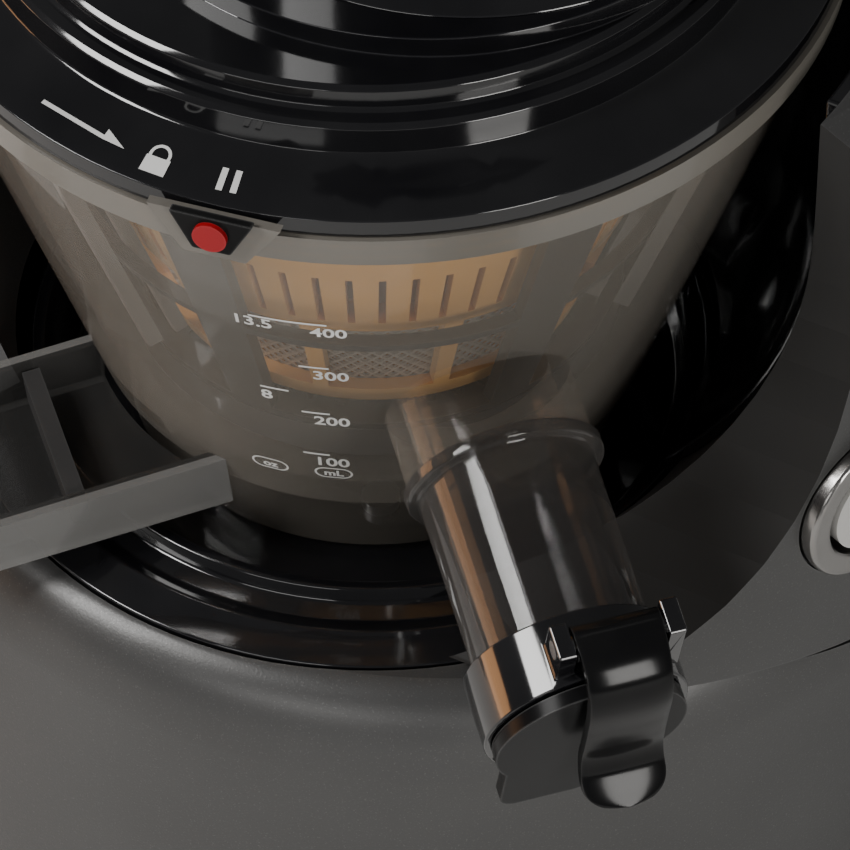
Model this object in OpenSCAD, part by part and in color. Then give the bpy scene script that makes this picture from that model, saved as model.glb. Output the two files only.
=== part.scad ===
// Upright slow juicer: a geared base that wraps round a clear bowl with strainer, wiper and auger.
// Origin: middle of the footprint on the table, under the bowl's own axis. Front is -Y, up is +Z.

/* [Base] */
// Radius of the round base
body_r = 104; // [103:0.5:105]
// How far the base's centre lies behind the bowl's axis
body_y = 26; // [25:0.5:27]
// Height of the flat shoulder in front of the seat
shoulder_z = 176; // [175.5:0.25:176.5]
// Thickness of the base's shells
shell_t = 3; // [2.5:0.25:3]
// Height of the column's top
column_z = 280; // [278:1:281]
// Slope of the seam between the two shells, in degrees
seam_tilt = 14; // [13:0.5:15]

/* [Bowl] */
// Outer radius at the top of the clear wall
bowl_top_r = 74; // [73.5:0.25:74]
// Outer radius at the foot of the clear wall
bowl_foot_r = 47; // [46.5:0.25:47.5]
// Thickness of the clear wall
bowl_t = 2.6; // [2.4:0.1:2.6]
// Direction of the juice spout, in degrees from the front towards +X
spout_turn = 45.5; // [44:0.5:46]
// Downward slope of the juice spout
spout_slope = 16.7; // [15:0.1:18]
// Direction of the pulp chute, in degrees from the front towards -X
chute_turn = 45; // [44:1:46]
// Reach of the pulp chute from the bowl's axis
chute_reach = 149; // [144:1:149]

/* [Lid] */
// Inner radius of the feed chute
feed_r = 38; // [37:0.5:38]
// How far the feed chute stands off the bowl's axis
feed_offset = 15; // [14:0.5:15]
// Height of the feed chute's rim
feed_z = 415; // [413:1:418]

/* [Gears] */
// Pressure angle of every gear
pressure = 20; // [20:1:22]
// Play cut from each tooth, as a share of the module
play = 0.12; // [0.1:0.01:0.16]
// Teeth on the output gear
output_teeth = 48; // [48:12:48]

/* [Hidden] */
$fn = 96;

// shared levels and clearances
far = 400;
face_gap = 0.3;
run_gap = 0.03;
cover_z = 4;
seam_z = 164;
seam_gap = 0.8;
ring_r = 70;
seat_z = 168;
bay_foot_r = 57;
bay_top_r = 82;
bay_foot_z = 184;
bay_flare_z = 262;
liner_t = 2.4;
wing_y = -12;
liner_y = -6;

// drive line
shaft_r = 8;
pin_r = 4;
drive_m = 1.5;
first_m = 1.25;
pinion_teeth = 12;
first_teeth = 45;
lay_y = drive_m * (output_teeth + pinion_teeth) / 2;
first_gap = first_m * (first_teeth + pinion_teeth) / 2;
motor_x = -first_gap * cos(45);
motor_y = lay_y - first_gap * sin(45);
motor_r = 38;
post_x = 48;
post_y = 48;
hex_r = 8;

// bowl levels
bowl_z = 190;
floor_z = 193.5;
wall_z = 276;
tab_turn = 10.6;
rim_z = 282;
ledge_z = 273;
switch_turn = 20.5;
switch_z = 199;
neck_d = 67.7;
neck_z = 218.5;
tube_len = 41;
tube_r = 14.3;
tube_bore = 12;
collar_x = 33;
collar_end = 44.5;
collar_r = 16.5;
hinge_x = 40;
hinge_h = 19.8;
trough_z = 184;
trough_w = 34;
trough_s = 0;
trough_h = 10.5;
trough_t = 2.5;
trough_tilt = 6;

// parts in the bowl
basket_foot_r = 35;
basket_z = 202.5;
basket_rise = 0.34;
sun_teeth = 22;
idler_teeth = 12;
ring_teeth = sun_teeth + 2 * idler_teeth;
idler_d = drive_m * (sun_teeth + idler_teeth) / 2;
gear_z = 195;
gear_h = 6;

// lid and feed
lid_r = 75.5;
feed_turn = 28;
chute_z = 302.4;
feed_x = feed_offset * cos(feed_turn);
feed_y = feed_offset * sin(feed_turn);
cap_hinge_y = feed_y + 48.5;
cap_hinge_z = feed_z + 3;
guide_y = feed_y + 19;
guide_r = 17.02;

function bay_r(z) =
    bay_foot_r + (bay_top_r - bay_foot_r)
    * (1 - pow(1 - min(1, (z - bay_foot_z) / (bay_flare_z - bay_foot_z)), 2.4));
function bowl_out(z) = bowl_foot_r + (bowl_top_r - bowl_foot_r) * (z - bowl_z) / (wall_z - bowl_z);
function bowl_in(z) = bowl_out(z) - bowl_t;
function basket_r(z) = basket_foot_r + basket_rise * (z - 200);
function bay_levels() = [for (z = [bay_foot_z : 6 : bay_flare_z]) z];
function shoulder(g) =
    [for (a = [0 : 15 : 90]) [body_r - g - 9 + 9 * cos(a), shoulder_z - g - 16 + 16 * sin(a)]];
function inv(a) = tan(a) * 180 / PI - a;

// one gear outline: add and ded are in modules, thick widens each tooth in millimetres
function tooth_half(m, z, r, thick) =
    let (rp = m * z / 2, rb = rp * cos(pressure))
    90 / z + thick * 90 / (PI * rp) + inv(pressure) - inv(acos(min(1, rb / max(r, rb))));
function gear_outline(m, z, add, ded, thick) =
    let (rp = m * z / 2, rb = rp * cos(pressure), ra = rp + add * m, rf = rp - ded * m)
    let (r0 = max(rb, rf), flank = [for (i = [0 : 4]) r0 + (ra - r0) * i / 4])
    [for (k = [0 : z - 1]) each concat(
        [for (r = rf < r0 ? concat([rf], flank) : flank)
            let (a = 360 * k / z - tooth_half(m, z, r, thick)) [r * cos(a), r * sin(a)]],
        [for (i = [4 : -1 : 0])
            let (r = flank[i], a = 360 * k / z + tooth_half(m, z, r, thick)) [r * cos(a), r * sin(a)]],
        rf < r0 ? [let (a = 360 * k / z + tooth_half(m, z, rf, thick)) [rf * cos(a), rf * sin(a)]] : []
    )];

module spur(m, z, h) {
    linear_extrude(height = h)
        polygon(gear_outline(m, z, 0.75, 1, -play * m));
}

module ring(r_in, r_out, z0, z1) {
    translate([0, 0, z0])
        difference() {
            cylinder(r = r_out, h = z1 - z0);
            translate([0, 0, -1]) cylinder(r = r_in, h = z1 - z0 + 2);
        }
}

module at_body() {
    translate([0, body_y, 0]) children();
}

module at_spout() {
    rotate([0, 0, spout_turn - 90])
        translate([neck_d, 0, neck_z])
            rotate([0, spout_slope, 0]) children();
}

module at_chute() {
    rotate([0, 0, -90 - chute_turn]) children();
}

module at_switch() {
    at_body() rotate([0, 0, -switch_turn]) translate([0, 0, switch_z]) children();
}

module at_feed() {
    translate([feed_x, feed_y, 0]) children();
}

module along_x(r, x0, x1) {
    translate([x0, 0, 0]) rotate([0, 90, 0]) cylinder(r = r, h = x1 - x0);
}

// everything above the sloping seam, raised by g
module above_seam(g) {
    translate([0, 0, seam_z + g])
        rotate([-seam_tilt, 0, 0])
            translate([-far / 2, -far / 2, 0]) cube([far, far, far]);
}

/* ---- base ---- */

// the round body up to its front shoulder, inset by g
module body_block(g) {
    at_body()
        rotate_extrude()
            polygon(concat(
                [[0, cover_z - (g > 0 ? 1 : 0)], [body_r - 4 - g, cover_z - (g > 0 ? 1 : 0)]],
                [[body_r - 1 - g, cover_z + 10], [body_r - g, cover_z + 36]],
                shoulder(g),
                [[0, shoulder_z - g]]
            ));
}

module screw_posts(r, z0, z1) {
    at_body()
        for (a = [0 : 60 : 300])
            rotate([0, 0, a]) translate([86, 0, z0]) cylinder(r = r, h = z1 - z0);
}

module lower_shell() {
    color("dimgray")
    difference() {
        union() {
            difference() {
                body_block(0);
                body_block(shell_t);
            }
            difference() {
                screw_posts(5, 7, 40);
                screw_posts(1.6, 6, 30);
            }
            at_body()
                for (a = [0 : 60 : 300])
                    rotate([0, 0, a]) translate([90, -1.5, 12]) cube([11.5, 3, 25]);
        }
        translate([0, 0, 100]) cylinder(r = ring_r + 0.4, h = 100);
        above_seam(-seam_gap / 2);
        at_body() translate([0, 90, 30]) rotate([-90, 0, 0]) cylinder(r = 7.05, h = 30);
    }
}

// the raised rear body with its front scooped away, inset by g
module housing_block(g) {
    difference() {
        at_body()
            rotate_extrude()
                polygon([
                    [0, 110], [body_r - g, 110], [body_r - g, 150], [body_r - 2 - g, 190],
                    [body_r - 3.5 - g, 230], [body_r - 4.5 - g, column_z - 10],
                    [body_r - 7 - g, column_z - 3 - g], [body_r - 12 - g, column_z - g],
                    [0, column_z - g]
                ]);
        translate([-far / 2, g, -g])
            rotate([90, 0, 90])
                linear_extrude(height = far)
                    polygon(concat(
                        [[-far / 2, shoulder_z]],
                        [for (t = [0 : 7.5 : 90]) [wing_y - 58 + 58 * sin(t), 246 - 70 * cos(t)]],
                        [[wing_y, far], [-far / 2, far]]
                    ));
        rotate_extrude()
            polygon(concat(
                [[0, 100], [ring_r + 0.4 + g, 100], [ring_r + 0.4 + g, 181 + g]],
                [for (z = bay_levels()) [bay_r(z) + liner_t + 0.1 + g, z + g / 2]],
                [[bay_top_r + liner_t + 0.1 + g, far], [0, far]]
            ));
    }
}

module upper_housing() {
    color("gray")
    difference() {
        union() {
            difference() {
                housing_block(0);
                housing_block(shell_t);
            }
            intersection() {
                housing_block(0);
                at_switch() along_x(17, 91, 101);
            }
        }
        difference() {
            translate([-far / 2, -far / 2, 0]) cube([far, far, far]);
            above_seam(seam_gap / 2);
        }
        at_switch() along_x(13.05, 80, 120);
        at_switch() along_x(15, 99.5, 120);
        translate([-43, body_y + 74, 228]) cube([86, 60, 34]);
        at_chute() translate([50, trough_s - 1.6, 177.4]) cube([70, trough_w + 3.2, 30]);
    }
}

// the seat under the bowl, with its two ridges and the screws' holes
module seat_ring() {
    color("black")
    difference() {
        rotate_extrude()
            polygon([
                [12.05, seat_z], [51, seat_z], [54, 173], [69.6, 172.8], [ring_r, 176.3],
                [66.5, 177.2], [64, 178.4], [61, 177], [58, 178], [57, 180.4], [55, 180.2],
                [53, 175], [50, 171], [12.05, 171]
            ]);
        for (a = [60 : 120 : 300])
            rotate([0, 0, a]) translate([30, 0, 160]) cylinder(r = 2, h = 20);
    }
}

// the flared wall behind the bowl
module bay_liner() {
    color("black")
    intersection() {
        rotate_extrude()
            polygon(concat(
                [[bay_foot_r + 0.3, 180.6]],
                [for (z = bay_levels()) [bay_r(z), z]],
                [[bay_top_r, column_z - 1], [bay_top_r + liner_t, column_z - 1]],
                [for (z = [bay_flare_z : -6 : bay_foot_z]) [bay_r(z) + liner_t, z]],
                [[bay_foot_r + liner_t + 0.3, 180.6]]
            ));
        translate([-far / 2, liner_y, 0]) cube([far, far, far]);
    }
}

module bottom_cover() {
    color("dimgray")
    difference() {
        at_body() translate([0, 0, cover_z]) cylinder(r = body_r - 7.4, h = 3);
        screw_posts(3.5, 3, 6);
        screw_posts(1.8, 3, 9);
        at_body()
            for (i = [-4 : 4])
                translate([i * 9 - 2, -28, 0]) cube([4, 56, 20]);
    }
}

module rubber_feet() {
    color("black")
    at_body()
        for (a = [45 : 90 : 315])
            rotate([0, 0, a])
                translate([84, 0, 0]) {
                    cylinder(r1 = 9, r2 = 10, h = 1);
                    translate([0, 0, 1]) cylinder(r = 10, h = cover_z - 1);
                }
}

module cover_screws() {
    color("silver") {
        screw_posts(3.4, cover_z + 0.2, 6);
        screw_posts(1.55, 6, 28);
    }
}

module cord_gland() {
    color("black")
    at_body()
        translate([0, 94, 30])
            rotate([-90, 0, 0])
                difference() {
                    union() {
                        cylinder(r = 7, h = 8.8);
                        cylinder(r = 9, h = 6);
                        translate([0, 0, 8.8]) cylinder(r1 = 7, r2 = 6, h = 1.6);
                    }
                    translate([0, 0, -1]) cylinder(r = 3.5, h = 20);
                }
}

module handle_insert() {
    color("black")
    difference() {
        intersection() {
            translate([-42.7, body_y + 74.3, 228.3]) cube([85.4, 60, 33.4]);
            at_body() cylinder(r = body_r - 4.6, h = far);
        }
        translate([-39.7, body_y + 77.3, 231.3]) cube([79.4, 60, 27.4]);
    }
}

module switch_bezel() {
    color("silver")
    at_switch()
        difference() {
            union() {
                along_x(14.7, 99.5, 103.4);
                along_x(12.95, 90.3, 99.5);
            }
            along_x(10.4, 90, 110);
        }
}

module switch_body() {
    color("black")
    at_switch() along_x(11, 85.5, 90.3);
}

module switch_rocker() {
    color("whitesmoke")
    at_switch() {
        along_x(9.2, 95.2, 103.2);
        translate([97, -9.8, 0]) rotate([-90, 0, 0]) cylinder(r = 1.2, h = 19.6);
    }
}

module control_board() {
    color("green") {
        translate([62, 0, 22]) cube([1.6, 54, 60]);
        for (i = [0 : 2])
            translate([63.6, 6 + 16 * i, 30]) cube([8 - 2 * i, 10, 20]);
    }
}

/* ---- motor and gearbox ---- */

module at_motor() {
    translate([motor_x, motor_y, 0]) children();
}

module motor_can() {
    color("silver")
    at_motor()
        difference() {
            translate([0, 0, 18]) cylinder(r = motor_r, h = 86);
            translate([0, 0, 24]) cylinder(r = motor_r - 1.5, h = 74);
            translate([0, 0, 10]) cylinder(r = 9.02, h = 100);
        }
}

module motor_mount() {
    color("black")
    at_motor() ring(20, 34, 104, 106);
}

module stator() {
    color("darkgoldenrod")
    at_motor() ring(28, motor_r - 1.6, 38, 88);
}

module motor_bearings() {
    color("silver")
    at_motor() {
        ring(pin_r + run_gap, 9, 18, 24);
        ring(pin_r + run_gap, 9, 98, 104);
    }
}

module rotor_core() {
    color("darkgoldenrod")
    at_motor() ring(pin_r, 27, 40, 86);
}

module rotor_shaft() {
    color("silver")
    at_motor() translate([0, 0, 15]) cylinder(r = pin_r, h = 107);
}

module cooling_fan() {
    color("white")
    at_motor() {
        ring(pin_r, 10, 26, 34);
        ring(9.9, 31, 26, 27.5);
        for (a = [0 : 40 : 320])
            rotate([0, 0, a]) translate([9.5, -0.75, 27.4]) cube([21, 1.5, 6.6]);
    }
}

module motor_pinion() {
    color("silver")
    at_motor()
        translate([0, 0, 112.5])
            difference() {
                rotate([0, 0, 45]) spur(first_m, pinion_teeth, 9);
                translate([0, 0, -1]) cylinder(r = pin_r, h = 12);
            }
}

module gear_posts(r, z0, z1) {
    for (x = [-1, 1], y = [-1, 1])
        translate([x * post_x, body_y + y * post_y, z0]) cylinder(r = r, h = z1 - z0);
}

module gearbox_base() {
    color("dimgray")
    difference() {
        union() {
            at_body() translate([0, 0, 106]) cylinder(r = 76, h = 4);
            gear_posts(6, 7, 107);
            translate([0, 0, 109]) cylinder(r = 13.5, h = 12);
        }
        at_motor() translate([0, 0, 100]) cylinder(r = 11, h = 20);
        translate([0, 0, 112]) cylinder(r = 11.02, h = 20);
        translate([0, lay_y, 100]) cylinder(r = pin_r + 0.02, h = 20);
        gear_posts(1.8, 90, 120);
    }
}

module gearbox_cover() {
    color("dimgray")
    difference() {
        union() {
            at_body() translate([0, 0, 140]) cylinder(r = 70, h = 4);
            gear_posts(5, 110, 141);
            translate([0, 0, 137]) cylinder(r = 14, h = 11);
            for (a = [60 : 120 : 300])
                rotate([0, 0, a]) translate([30, 0, 143]) cylinder(r = 5, h = seat_z - 143);
        }
        translate([0, 0, 139]) cylinder(r = 11.02, h = 20);
        translate([0, 0, 130]) cylinder(r = 9, h = 20);
        translate([0, lay_y, 130]) cylinder(r = pin_r + 0.02, h = 12);
        gear_posts(1.8, 100, 150);
        for (a = [60 : 120 : 300])
            rotate([0, 0, a]) translate([30, 0, 155]) cylinder(r = 1.6, h = 20);
    }
}

module gearbox_screws() {
    color("silver") {
        gear_posts(1.75, 95, 144);
        gear_posts(3.4, 144, 147);
        for (a = [60 : 120 : 300])
            rotate([0, 0, a]) {
                translate([30, 0, 157]) cylinder(r = 1.55, h = 14);
                translate([30, 0, 171]) cylinder(r = 3.2, h = 2);
            }
    }
}

module layshaft_pin() {
    color("silver")
    translate([0, lay_y, 106]) cylinder(r = pin_r, h = 36);
}

// large gear below, small pinion above, on the layshaft
module reduction_gear() {
    color("ivory")
    translate([0, lay_y, 0])
        difference() {
            union() {
                translate([0, 0, 113])
                    rotate([0, 0, 225 + 180 / first_teeth]) spur(first_m, first_teeth, 8);
                translate([0, 0, 120.8]) cylinder(r = 7, h = 3);
                translate([0, 0, 123.6])
                    rotate([0, 0, -90]) spur(drive_m, pinion_teeth, 11);
            }
            translate([0, 0, 100]) cylinder(r = pin_r + run_gap, h = 50);
        }
}

module output_gear() {
    color("ivory")
    difference() {
        union() {
            translate([0, 0, 124])
                rotate([0, 0, 90 + 180 / output_teeth]) spur(drive_m, output_teeth, 10);
            translate([0, 0, 121.5]) cylinder(r = 12, h = 15);
        }
        translate([0, 0, 100]) cylinder(r = shaft_r, h = 60);
        for (a = [0 : 60 : 300])
            rotate([0, 0, a]) translate([23, 0, 120]) cylinder(r = 6.5, h = 20);
    }
}

module drive_shaft() {
    color("silver") {
        translate([0, 0, 112.5]) cylinder(r = shaft_r, h = 73.5);
        translate([0, 0, 186]) cylinder(r = hex_r, h = 40, $fn = 6);
    }
}

module output_bearings() {
    color("silver") {
        ring(shaft_r + run_gap, 11, 113, 120.5);
        ring(shaft_r + run_gap, 11, 139, 147.5);
    }
}

module shaft_seal() {
    color("black")
    ring(shaft_r + 0.08, 12, seat_z, seat_z + 6);
}

/* ---- bowl ---- */

// the solid cone inside the clear wall
module bowl_cavity() {
    rotate_extrude()
        polygon([[0, floor_z], [bowl_in(floor_z), floor_z], [bowl_in(wall_z + 2), wall_z + 2], [0, wall_z + 2]]);
}

module bowl() {
    color("silver", 0.4)
    difference() {
        union() {
            difference() {
                union() {
                    rotate_extrude()
                        polygon([
                            [0, bowl_z], [bowl_foot_r, bowl_z], [bowl_out(wall_z), wall_z], [0, wall_z]
                        ]);
                    at_spout() along_x(15.2, -26, 0);
                }
                bowl_cavity();
            }
            ring(38, 41, 173, bowl_z + 1);
            difference() {
                ring(66.2, bowl_in(ledge_z) + 1, ledge_z - 4, ledge_z);
                translate([0, 0, ledge_z - 4.01])
                    cylinder(r1 = bowl_in(ledge_z) - 0.5, r2 = 66.2, h = 3);
            }
        }
        at_spout() along_x(12.2, -34, 1);
        at_chute() translate([36, 0, floor_z]) cube([24, 24, 4.5]);
        translate([0, 0, 180]) cylinder(r = 11.6, h = 20);
    }
}

// frosted band round the mouth, with the shallow lip that carries the lock tab
module bowl_rim() {
    color("tan")
    difference() {
        union() {
            translate([0, 0, wall_z]) cylinder(r1 = 75.4, r2 = 76.2, h = rim_z - wall_z);
            rotate([0, 0, tab_turn])
                rotate([90, 0, 0]) {
                    translate([0, 0, 70]) linear_extrude(height = 7.6)
                        polygon([[-8.6, rim_z], [8.6, rim_z], [5, 276.5], [-5, 276.5]]);
                    translate([0, 0, 76]) linear_extrude(height = 1.6)
                        polygon([[-10.5, 285], [10.5, 285], [8, 281], [-8, 281]]);
                }
        }
        translate([0, 0, wall_z - 5]) cylinder(r = 70.8, h = 20);
        translate([0, 0, wall_z - 3]) cylinder(r1 = bowl_out(wall_z - 3), r2 = bowl_top_r, h = 3);
    }
}

module lock_tab() {
    color("black")
    rotate([0, 0, tab_turn])
        translate([0, -77.6, 0])
            rotate([90, 0, 0])
                linear_extrude(height = 1.4)
                    polygon([[-6.6, 286], [6.6, 286], [3, 279], [-3, 279]]);
}

module red_mark() {
    color("red")
    rotate([0, 0, tab_turn])
        translate([0, -79, 282.5]) rotate([90, 0, 0]) cylinder(r = 2.7, h = 0.8);
}

module bowl_seal() {
    color("gray")
    ring(shaft_r + 0.6, 11.6, bowl_z, floor_z);
}

module pulp_chute() {
    color("gray", 0.5)
    at_chute()
        difference() {
            translate([48, trough_s, trough_z])
                rotate([0, trough_tilt, 0])
                    difference() {
                        translate([-14, 0, 0]) cube([chute_reach - 34, trough_w, trough_h]);
                        translate([-15, trough_t, trough_t])
                            cube([chute_reach, trough_w - 2 * trough_t, trough_h]);
                    }
            translate([0, 0, 170]) cylinder(r = bowl_foot_r, h = bowl_z - 170);
            translate([0, 0, bowl_z])
                cylinder(r1 = bowl_foot_r, r2 = bowl_out(bowl_z + 14), h = 14);
        }
}

module pulp_plug() {
    color("gray")
    at_chute()
        translate([48, trough_s, trough_z])
            rotate([0, trough_tilt, 0])
                translate([9, trough_t + 0.4, trough_t]) cube([3, trough_w - 2 * trough_t - 0.8, 7]);
}

module juice_spout() {
    color("silver", 0.4)
    at_spout()
        difference() {
            union() {
                along_x(tube_r, 0, tube_len);
                along_x(16.2, 0, 2.4);
            }
            along_x(tube_bore, -1, tube_len + 1);
        }
}

module spout_collar() {
    color("black")
    at_spout()
        difference() {
            union() {
                along_x(collar_r, collar_x, collar_end);
                for (y = [-6.2, 11.4])
                    translate([hinge_x - 3, y, 10]) cube([6, 2.8, hinge_h - 7.4]);
            }
            along_x(tube_r, collar_x - 1, tube_len);
            along_x(tube_bore, tube_len - 1, collar_end + 10);
            translate([hinge_x, -10, hinge_h]) rotate([-90, 0, 0]) cylinder(r = 1.5, h = 30);
        }
}

module lever_pin() {
    color("silver")
    at_spout()
        translate([hinge_x, -6.2, hinge_h]) rotate([-90, 0, 0]) cylinder(r = 1.5, h = 20.4);
}

// the strap in side view: over the collar, down the flap, then out to the thumb tab
module spout_lever() {
    color("black")
    at_spout()
        difference() {
            union() {
                translate([hinge_x, -3, hinge_h]) rotate([-90, 0, 0]) cylinder(r = 2.8, h = 14);
                translate([0, 11, 0])
                    rotate([90, 0, 0])
                        linear_extrude(height = 14)
                            polygon([
                                [40, 22.6], [44, 21.8], [48.2, 18.2], [50.2, 12], [50.8, 4], [52.2, -1.5],
                                [54.6, -5.4], [56.8, -8.2], [55.4, -10], [52.4, -7.4], [49.4, -3],
                                [48.2, 2.4], [47.8, 10], [47.8, 15.2], [46, 17.8], [43.6, 18.5], [40, 18.5]
                            ]);
            }
            translate([hinge_x, -5, hinge_h]) rotate([-90, 0, 0]) cylinder(r = 1.55, h = 30);
        }
}

module spout_flap() {
    color("black")
    at_spout()
        difference() {
            union() {
                along_x(15.4, collar_end + 0.3, collar_end + 2.8);
                translate([collar_end + 0.3, -13, -17.5]) cube([2.5, 15, 9]);
                translate([collar_end + 0.3, -10, -20.5]) cube([2.5, 9, 4]);
                for (y = [-10, -1])
                    translate([0, y, -17.5]) along_x(3, collar_end + 0.3, collar_end + 2.8);
                translate([collar_end + 2.7, 0, 4]) cube([0.5, 8, 4]);
            }
            along_x(6, collar_end, collar_end + 1);
        }
}

module flap_seal() {
    color("gray")
    at_spout() {
        along_x(10.9, collar_end - 1.8, collar_end + 0.3);
        along_x(5.9, collar_end + 0.3, collar_end + 1);
    }
}

/* ---- strainer, wiper, auger ---- */

// a conical band between two levels, following the basket, from offset g0 to g1
module basket_band(g0, g1, z0, z1, turn = 360) {
    rotate_extrude(angle = turn)
        polygon([
            [basket_r(z0) + g0, z0], [basket_r(z0) + g1, z0],
            [basket_r(z1) + g1, z1], [basket_r(z1) + g0, z1]
        ]);
}

// a wedge that opens a window, wide degrees across, between two levels
module basket_cut(wide, z0, z1) {
    translate([0, 0, z0])
        linear_extrude(height = z1 - z0)
            polygon([
                [20 * cos(wide / 2), -20 * sin(wide / 2)], [90 * cos(wide / 2), -90 * sin(wide / 2)],
                [90 * cos(wide / 2), 90 * sin(wide / 2)], [20 * cos(wide / 2), 20 * sin(wide / 2)]
            ]);
}

module strainer_frame() {
    color("orange")
    difference() {
        union() {
            basket_band(-2.4, 0, basket_z, ledge_z + 1.5);
            ring(20.6, basket_r(basket_z) - 1, basket_z, basket_z + 2);
            ring(basket_r(ledge_z) - 1, 69.4, ledge_z, ledge_z + 1.5);
        }
        for (a = [0 : 30 : 330])
            rotate([0, 0, a]) {
                basket_cut(26, basket_z + 4, 228);
            }
        for (a = [0 : 6 : 354])
            rotate([0, 0, a]) translate([38, -0.6, 231]) cube([20, 1.2, 15]);
    }
}

module strainer_mesh() {
    color("silver")
    basket_band(-3, -2.4, basket_z + 2, 229.5);
}

module wiper_frame() {
    color("dimgray")
    difference() {
        union() {
            translate([0, 0, gear_z]) cylinder(r = 41, h = gear_h);
            basket_band(3, 5.5, gear_z + gear_h - 1, 268);
        }
        translate([0, 0, gear_z - 1])
            rotate([0, 0, 90 + 180 / ring_teeth])
                linear_extrude(height = gear_h + 2)
                    polygon(gear_outline(drive_m, ring_teeth, 1, 0.6, play * drive_m));
        for (a = [0 : 60 : 300])
            rotate([0, 0, a]) {
                basket_cut(50, gear_z + gear_h + 2, 230);
                basket_cut(50, 232, 264);
            }
    }
}

module wiper_blades() {
    color("gray")
    for (a = [0 : 120 : 240])
        rotate([0, 0, a + 3.5]) {
            basket_band(0.6, 3, 206, 262, 2);
            basket_band(5.5, 8.2, 206, 262, 2);
        }
}

module idler_pin() {
    color("silver")
    translate([0, idler_d, floor_z]) cylinder(r = 3, h = 8.2);
}

module idler_gear() {
    color("ivory")
    translate([0, idler_d, gear_z + 0.2])
        difference() {
            rotate([0, 0, -90 + 180 / idler_teeth]) spur(drive_m, idler_teeth, gear_h - 0.2);
            translate([0, 0, -1]) cylinder(r = 3 + run_gap, h = 20);
        }
}

module hex_socket() {
    translate([0, 0, 190]) cylinder(r = hex_r + 0.25, h = 37, $fn = 6);
}

module auger_gear() {
    color("ivory")
    difference() {
        union() {
            translate([0, 0, gear_z])
                rotate([0, 0, 90]) spur(drive_m, sun_teeth, gear_h + 0.5);
            translate([0, 0, gear_z + gear_h]) cylinder(r = 19, h = 5);
        }
        hex_socket();
    }
}

module auger() {
    color("darkorange")
    difference() {
        union() {
            translate([0, 0, 206]) cylinder(r1 = 19, r2 = 16, h = 50);
            translate([0, 0, 256]) cylinder(r1 = 16, r2 = 4.9, h = 14);
            translate([0, 0, 269]) cylinder(r = 4.9, h = 20);
            translate([0, 0, 206.5])
                linear_extrude(height = 48, twist = 540, scale = 1.52, slices = 40, $fn = 8)
                    for (a = [0, 180])
                        rotate([0, 0, a]) translate([10, -2]) square([21, 4]);
        }
        hex_socket();
    }
}

/* ---- lid and feed ---- */

// flange, stepped ridges and the roof that carries the feed chute
module lid() {
    color("black")
    difference() {
        union() {
            rotate_extrude()
                polygon([
                    [0, rim_z + face_gap], [lid_r, rim_z + face_gap], [lid_r, 285.4], [74.4, 286],
                    [65.2, 288.4], [64.6, 289], [64.4, 293.6], [63.6, 294.3], [61.6, 294.5],
                    [61, 295], [60.8, 298], [60, 298.7], [0, 298.7]
                ]);
            ring(66.6, 70, ledge_z + 2, rim_z + 1);
            translate([feed_x * 0.6, feed_y * 0.6, 298]) cylinder(r = 54, h = chute_z - 298);
        }
        translate([0, 0, 270]) cylinder(r = 66.6, h = 14);
        translate([0, 0, 283]) cylinder(r = 61.6, h = 8.6);
        translate([0, 0, 291]) cylinder(r = 57.8, h = 4.8);
        at_feed() translate([0, 0, 280]) cylinder(r = feed_r + 3, h = 140);
        ring(69, 72, 277, 280);
    }
}

module feed_chute() {
    color("black")
    at_feed()
        difference() {
            union() {
                translate([0, 0, 288]) cylinder(r = feed_r + 3, h = feed_z - 288);
                translate([0, 0, chute_z]) cylinder(r1 = 50, r2 = feed_r + 3.6, h = 9);
                translate([0, 0, feed_z - 4]) cylinder(r = feed_r + 5.5, h = 4);
            }
            translate([0, 0, 280]) cylinder(r = feed_r, h = 150);
        }
}

// the auger's upper bearing block on its bridge
module lid_hub() {
    color("black")
    difference() {
        union() {
            translate([0, 0, 284]) cylinder(r = 11.5, h = 12);
            rotate([0, 0, 180 + feed_turn]) translate([8, -4, 288]) cube([14.6, 8, 8]);
        }
        translate([0, 0, 280]) cylinder(r = 8, h = 12);
    }
}

module cap_ears() {
    color("black")
    difference() {
        for (x = [-20, 16])
            translate([feed_x + x, feed_y, 0]) {
                translate([0, 40.5, feed_z - 10]) cube([4, 12.5, 9.6]);
                translate([0, 44.5, feed_z - 1]) cube([4, 8, 7.5]);
            }
        translate([feed_x - 30, cap_hinge_y, cap_hinge_z]) rotate([0, 90, 0]) cylinder(r = 2, h = 60);
    }
}

module lid_seal() {
    color("gray")
    ring(69, 70.4, 277, 280);
}

module lid_bush() {
    color("ivory")
    ring(4.9 + 0.06, 8, 284, 292);
}

module cap_pin() {
    color("silver")
    translate([feed_x - 20, cap_hinge_y, cap_hinge_z]) rotate([0, 90, 0]) cylinder(r = 2, h = 40);
}

module feed_cap() {
    color("black")
    difference() {
        union() {
            at_feed() translate([0, 0, feed_z + 0.4]) cylinder(r = feed_r + 5.5, h = 4);
            translate([feed_x - 15.5, cap_hinge_y, cap_hinge_z]) rotate([0, 90, 0]) cylinder(r = 4, h = 31);
            translate([feed_x - 15.5, cap_hinge_y - 12, feed_z + 0.4]) cube([31, 12, 4]);
            translate([feed_x - 11, feed_y - feed_r - 12, feed_z + 0.4]) cube([22, 12, 3]);
            translate([feed_x, guide_y, feed_z + 0.4]) cylinder(r = 20, h = 8.6);
        }
        translate([feed_x, guide_y, feed_z - 5]) cylinder(r = guide_r, h = 30);
        translate([feed_x - 30, cap_hinge_y, cap_hinge_z]) rotate([0, 90, 0]) cylinder(r = 2.05, h = 60);
        at_feed() translate([0, 0, feed_z - 8]) cylinder(r = feed_r + 6, h = 8.3);
    }
}

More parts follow.
